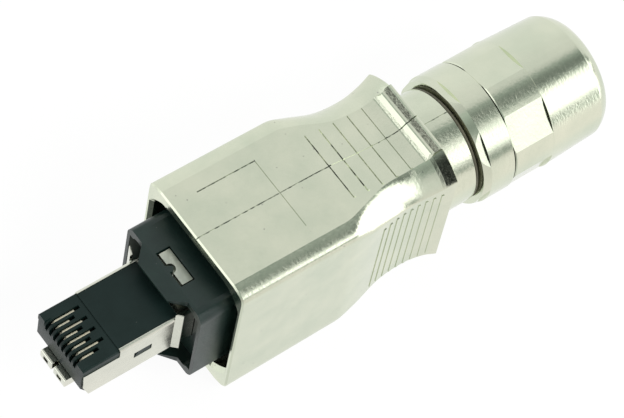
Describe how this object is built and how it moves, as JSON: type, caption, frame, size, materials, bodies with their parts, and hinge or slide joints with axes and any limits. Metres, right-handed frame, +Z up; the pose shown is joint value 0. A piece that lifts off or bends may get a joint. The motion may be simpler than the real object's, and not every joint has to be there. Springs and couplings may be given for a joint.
{
  "type": "field termination ethernet plug",
  "caption": "Push-pull cable plug: a metal hood with a screw gland behind it and a shielded modular plug in a moulded frame in its mouth.",
  "frame": {"origin": "centre of the modular plug's nose on the hood's long axis", "axes": "+X from the nose to the cable end, +Z the side the contacts face, +Y to the left when looking along +X with +Z up"},
  "size_m": [0.0965, 0.0236, 0.0282],
  "materials": {
    "nickel": "satin",
    "sheet": "satin",
    "cover_metal": "matte",
    "frame_plastic": "matte",
    "plug_plastic": "satin",
    "contact_metal": "satin",
    "terminal_metal": "satin",
    "seal_rubber": "matte",
    "board": "satin",
    "cap_plastic": "matte",
    "cage_plastic": "matte",
    "spring_steel": "satin"
  },
  "bodies": {
    "hood": {"hood": "nickel", "neck_seal": "seal_rubber", "gland_body": "nickel", "clamping_cage": "cage_plastic", "sealing_grommet": "seal_rubber", "return_spring_upper": "spring_steel", "return_spring_lower": "spring_steel"},
    "carrier": {"latch_frame": "frame_plastic", "face_seal": "seal_rubber", "plug_body": "plug_plastic", "plug_shield": "sheet", "inner_cover_upper": "cover_metal", "inner_cover_lower": "cover_metal", "circuit_board": "board", "wire_manager_upper": "cap_plastic", "wire_manager_lower": "cap_plastic", "shield_clamp": "sheet", "clamp_screw_left": "spring_steel", "clamp_screw_right": "spring_steel", "contact_1": "contact_metal", "contact_2": "contact_metal", "contact_3": "contact_metal", "contact_4": "contact_metal", "contact_5": "contact_metal", "contact_6": "contact_metal", "contact_7": "contact_metal", "contact_8": "contact_metal", "idc_terminal_upper_1": "terminal_metal", "idc_terminal_lower_1": "terminal_metal", "idc_terminal_upper_2": "terminal_metal", "idc_terminal_lower_2": "terminal_metal", "idc_terminal_upper_3": "terminal_metal", "idc_terminal_lower_3": "terminal_metal", "idc_terminal_upper_4": "terminal_metal", "idc_terminal_lower_4": "terminal_metal"},
    "latch": {"plug_latch": "sheet"},
    "thrust": {"thrust_ring": "cage_plastic"},
    "nut": {"clamping_nut": "nickel"}
  },
  "joints": [
    {"name": "carrier_slide", "type": "slide", "parent": "hood", "child": "carrier", "axis": [1, 0, 0], "range_m": [0, 0.003], "stiffness_N_per_m": 1500, "springref_m": -0.002, "deforming": ["return_spring_upper", "return_spring_lower"]},
    {"name": "latch_hinge", "type": "hinge", "parent": "carrier", "child": "latch", "pos_m": [0.0012, 0, -0.0017], "axis": [0, -1, 0], "range_deg": [0, 8], "stiffness_Nm_per_rad": 0.02, "springref_deg": -5.73},
    {"name": "nut_slide", "type": "slide", "parent": "hood", "child": "thrust", "axis": [1, 0, 0], "range_m": [0, 0.006]},
    {"name": "nut_spin", "type": "hinge", "parent": "thrust", "child": "nut", "pos_m": [0.0858, 0, 0], "axis": [1, 0, 0], "range_deg": [0, 1440.1]}
  ],
  "couplings": [
    {"joint": "nut_spin", "follows": "nut_slide", "rad_per_m": 4188.8}
  ]
}
